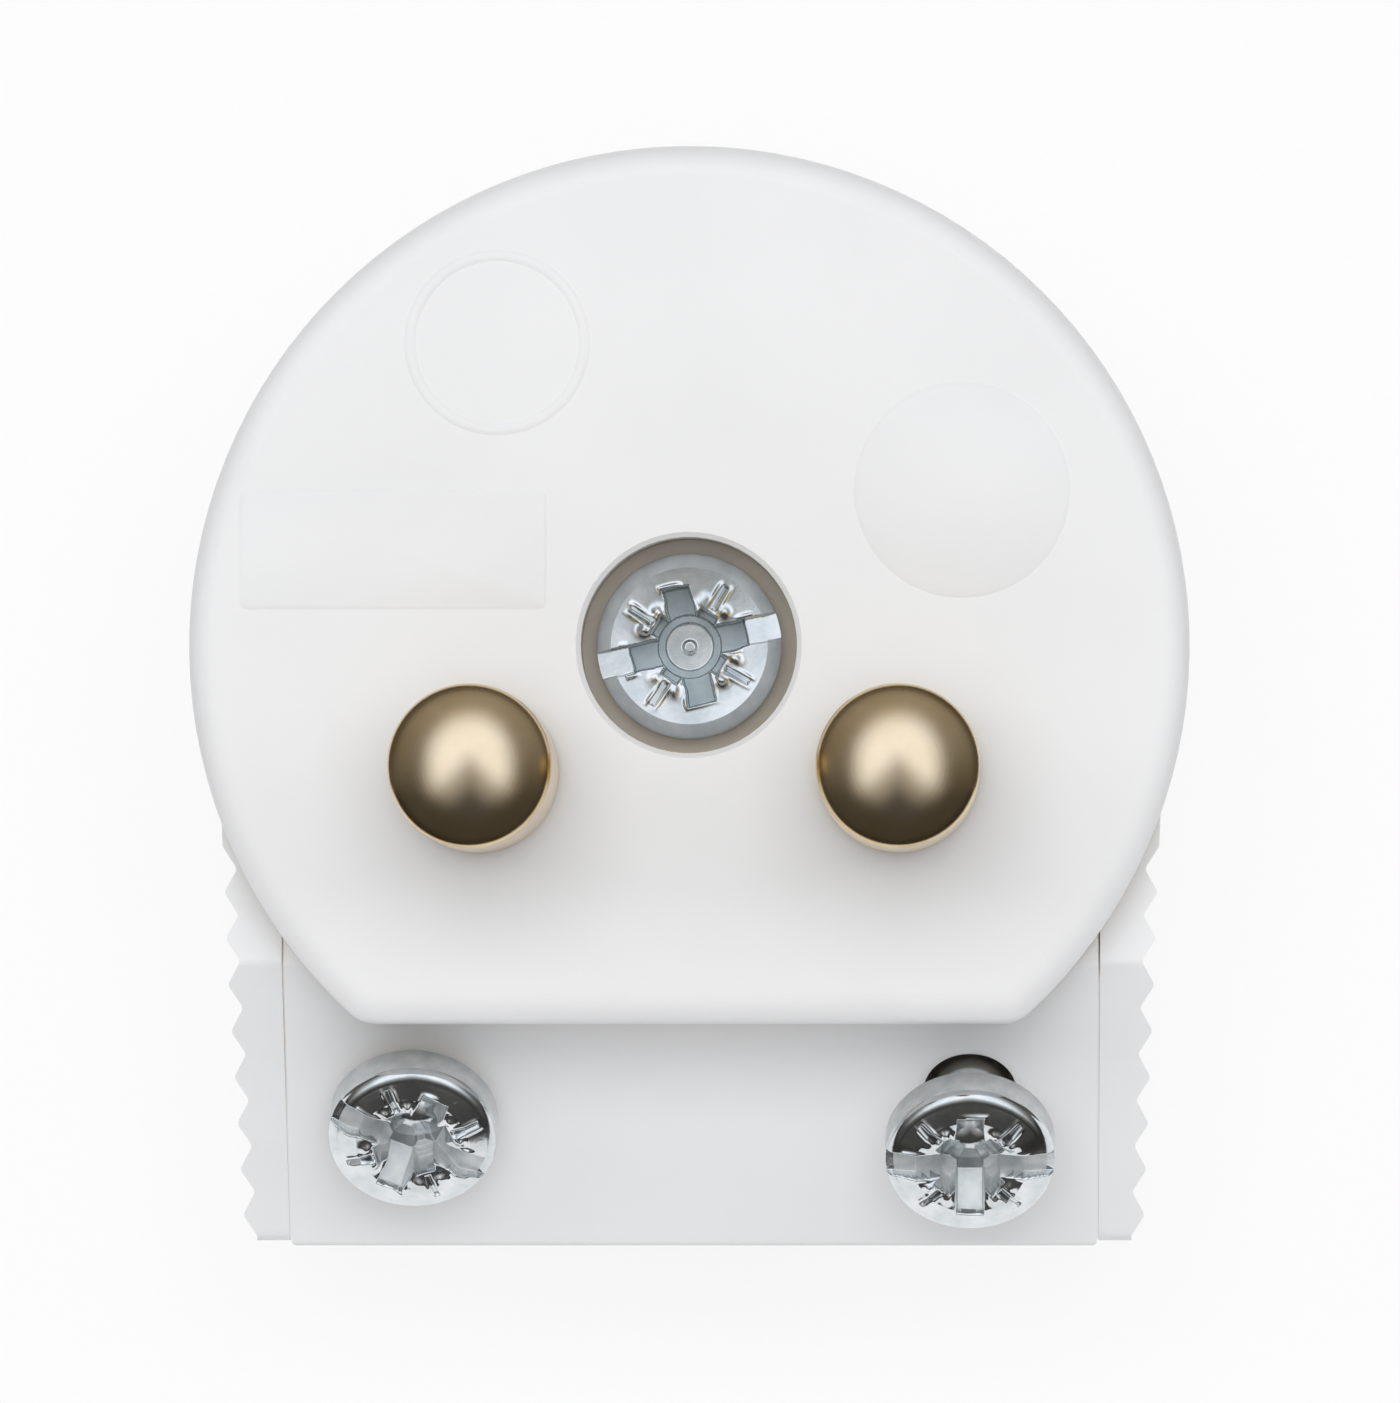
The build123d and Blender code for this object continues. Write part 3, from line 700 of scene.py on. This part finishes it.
# what mirrors see, by direction: a broad cool window of light overhead, a dark notch in it towards the
# front, and warm dark cloth round it
mirrorAir = {"windowCentre": (0.0, 0.05), "windowHalf": (0.74, 0.84), "windowEdge": (0.7, 1.3),
             "windowLevel": 1.3, "windowColour": "#f4f9ff",
             "clothColour": "#fffaf2", "clothFront": 0.07, "clothBack": 0.42, "clothTurn": (-0.45, 1.0),
             "notchSpan": (-0.6, 0.5),
             "notchShades": [(0.0, "#202020"), (0.26, "#797979"), (0.4, "#929292"), (0.55, "#acacac"),
                             (0.73, "#e1e1e1"), (0.91, "#ffffff")]}


def buildAir():
    look, m = stageLook, mirrorAir
    world = bpy.data.worlds.new("studioAir")
    scene.world = world
    world.use_nodes = True
    tree = world.node_tree
    tree.nodes.clear()
    way = addNode(tree, "ShaderNodeTexCoord").outputs["Generated"]
    axes = addNode(tree, "ShaderNodeSeparateXYZ", None, {"Vector": way})
    scale = (1 / m["windowHalf"][0], 1 / m["windowHalf"][1], 0)
    offset = [-c * k for c, k in zip(m["windowCentre"], scale)] + [0]
    inWindow = addNode(tree, "ShaderNodeVectorMath", {"operation": "MULTIPLY_ADD", 1: scale, 2: offset},
                       {0: way})
    fromMiddle = addNode(tree, "ShaderNodeVectorMath", {"operation": "LENGTH"}, {0: inWindow.outputs[0]})
    window = addNode(tree, "ShaderNodeMapRange",
                     {"interpolation_type": "SMOOTHSTEP", "From Min": m["windowEdge"][0],
                      "From Max": m["windowEdge"][1], "To Min": m["windowLevel"], "To Max": 0.0},
                     {"Value": fromMiddle.outputs["Value"]})
    aside = addNode(tree, "ShaderNodeMath", {"operation": "ABSOLUTE"}, {0: axes.outputs["X"]})
    fromNotch = addNode(tree, "ShaderNodeMath", {"operation": "ADD"},
                        {0: aside.outputs[0], 1: axes.outputs["Y"]})
    intoNotch = addNode(tree, "ShaderNodeMapRange",
                        {"From Min": m["notchSpan"][0], "From Max": m["notchSpan"][1]},
                        {"Value": fromNotch.outputs[0]})
    notch = addNode(tree, "ShaderNodeValToRGB", {"stops": m["notchShades"]}, {"Fac": intoNotch.outputs[0]})
    lit = addNode(tree, "ShaderNodeMath", {"operation": "MULTIPLY"},
                  {0: window.outputs[0], 1: notch.outputs["Color"]})
    cloth = addNode(tree, "ShaderNodeMapRange",
                    {"From Min": m["clothTurn"][0], "From Max": m["clothTurn"][1],
                     "To Min": m["clothFront"], "To Max": m["clothBack"]},
                    {"Value": axes.outputs["Y"]})
    mirrored = addNode(tree, "ShaderNodeMath", {"operation": "MAXIMUM"},
                       {0: lit.outputs[0], 1: cloth.outputs[0]})
    shade = addNode(tree, "ShaderNodeMix",
                    {"data_type": "RGBA", 6: linear(m["clothColour"]), 7: linear(m["windowColour"])},
                    {0: mirrored.outputs[0]})
    rays = addNode(tree, "ShaderNodeLightPath")
    seen = addNode(tree, "ShaderNodeMath", {"operation": "MAXIMUM"},
                   {0: rays.outputs["Is Camera Ray"], 1: rays.outputs["Is Transmission Ray"]})
    soft = addNode(tree, "ShaderNodeBackground",
                   {"Color": linear(look["airColour"]), "Strength": look["airLevel"]})
    mirror = addNode(tree, "ShaderNodeBackground", None,
                     {"Color": shade.outputs[2], "Strength": mirrored.outputs[0]})
    white = addNode(tree, "ShaderNodeBackground", {"Color": linear(look["backdrop"]), "Strength": 1.0})
    first = addNode(tree, "ShaderNodeMixShader", None,
                    {0: rays.outputs["Is Glossy Ray"], 1: soft.outputs[0], 2: mirror.outputs[0]})
    both = addNode(tree, "ShaderNodeMixShader", None,
                   {0: seen.outputs[0], 1: first.outputs[0], 2: white.outputs[0]})
    addNode(tree, "ShaderNodeOutputWorld", None, {"Surface": both.outputs[0]})


def buildFloor():
    # pale paper off a roll: matt, takes the shadow, and glows to the camera and to mirrors
    look = stageLook
    h, z = look["floorHalf"], -look["floorDrop"]
    floor = addPiece("floor", [(-h, -h, z), (h, -h, z), (h, h, z), (-h, h, z)], [(0, 1, 2, 3)])
    paper, tree = newMaterial("palePaper")
    rays = addNode(tree, "ShaderNodeLightPath")
    mirrored = addNode(tree, "ShaderNodeMath", {"operation": "MAXIMUM"},
                       {0: rays.outputs["Is Camera Ray"], 1: rays.outputs["Is Glossy Ray"]})
    seen = addNode(tree, "ShaderNodeMath", {"operation": "MAXIMUM"},
                   {0: mirrored.outputs[0], 1: rays.outputs["Is Transmission Ray"]})
    share = addNode(tree, "ShaderNodeMath", {"operation": "MULTIPLY", 1: look["paperGlow"]},
                    {0: seen.outputs[0]})
    matt = addNode(tree, "ShaderNodeBsdfDiffuse", {"Color": linear(look["paper"])})
    glow = addNode(tree, "ShaderNodeEmission", {"Color": linear(look["backdrop"]), "Strength": 1.0})
    mixed = addNode(tree, "ShaderNodeMixShader", None,
                    {0: share.outputs[0], 1: matt.outputs[0], 2: glow.outputs[0]})
    addNode(tree, "ShaderNodeOutputMaterial", None, {"Surface": mixed.outputs[0]})
    floor.data.materials.append(paper)


def buildSoftbox(name, box):
    width, length = box["size"]
    lamp = bpy.data.lights.new(name, "AREA")
    lamp.shape = "RECTANGLE"
    lamp.size, lamp.size_y = width, length
    lamp.energy = box["radiance"] * math.pi * width * length
    softbox = bpy.data.objects.new(name, lamp)
    scene.collection.objects.link(softbox)
    tilt, away = math.radians(box["tilt"]), box["away"]
    softbox.location = (0, away * math.sin(tilt), faceFront * mm + away * math.cos(tilt))
    softbox.rotation_euler = (-tilt, 0, 0)
    softbox.visible_camera = softbox.visible_glossy = False


def buildCard(name, look):
    # part of an upright cylinder round the object
    start, end = look["arc"]
    verts = []
    for k in range(cardSegments + 1):
        a = math.radians(start + (end - start) * k / cardSegments)
        verts += [(look["radius"] * math.cos(a), look["radius"] * math.sin(a), z) for z in look["ends"]]
    card = addPiece(name, verts, [(2 * k, 2 * k + 2, 2 * k + 3, 2 * k + 1) for k in range(cardSegments)])
    board, tree = newMaterial(name + "Board")
    glow = addNode(tree, "ShaderNodeEmission", {"Color": linear(look["shade"]), "Strength": 1.0})
    addNode(tree, "ShaderNodeOutputMaterial", None, {"Surface": glow.outputs[0]})
    card.data.materials.append(board)
    card.visible_camera = card.visible_diffuse = card.visible_shadow = False
    card.visible_transmission = card.visible_volume_scatter = False


buildAir()
buildFloor()
for softboxName, box in softboxes.items():
    buildSoftbox(softboxName, box)
for cardName, cardLook in mirrorCards.items():
    buildCard(cardName, cardLook)
print("stage set")

# camera, in millimetres; frameWidth is what the picture's width takes in at the aim, clip is in metres
cameraView = {"place": (8.1, -15.0, 523.5), "aim": (0.35, -1.753, 23.5), "frameWidth": 43.29, "sensor": 36.0,
              "clip": (0.01, 10.0)}


def addCamera():
    v = cameraView
    lens = bpy.data.cameras.new("camera")
    camera = bpy.data.objects.new("camera", lens)
    scene.collection.objects.link(camera)
    place, aim = Vector(v["place"]) * mm, Vector(v["aim"]) * mm
    ahead = (aim - place).normalized()
    right = ahead.cross(Vector((0, 1, 0))).normalized()
    camera.matrix_world = (Matrix.Translation(place)
                           @ Matrix((right, right.cross(ahead), -ahead)).transposed().to_4x4())
    lens.sensor_fit = "HORIZONTAL"
    lens.sensor_width = v["sensor"]
    lens.lens = v["sensor"] * (aim - place).length / (v["frameWidth"] * mm)
    lens.clip_start, lens.clip_end = v["clip"]
    scene.camera = camera


addCamera()
scene.view_settings.view_transform = "Standard"
print("camera placed")
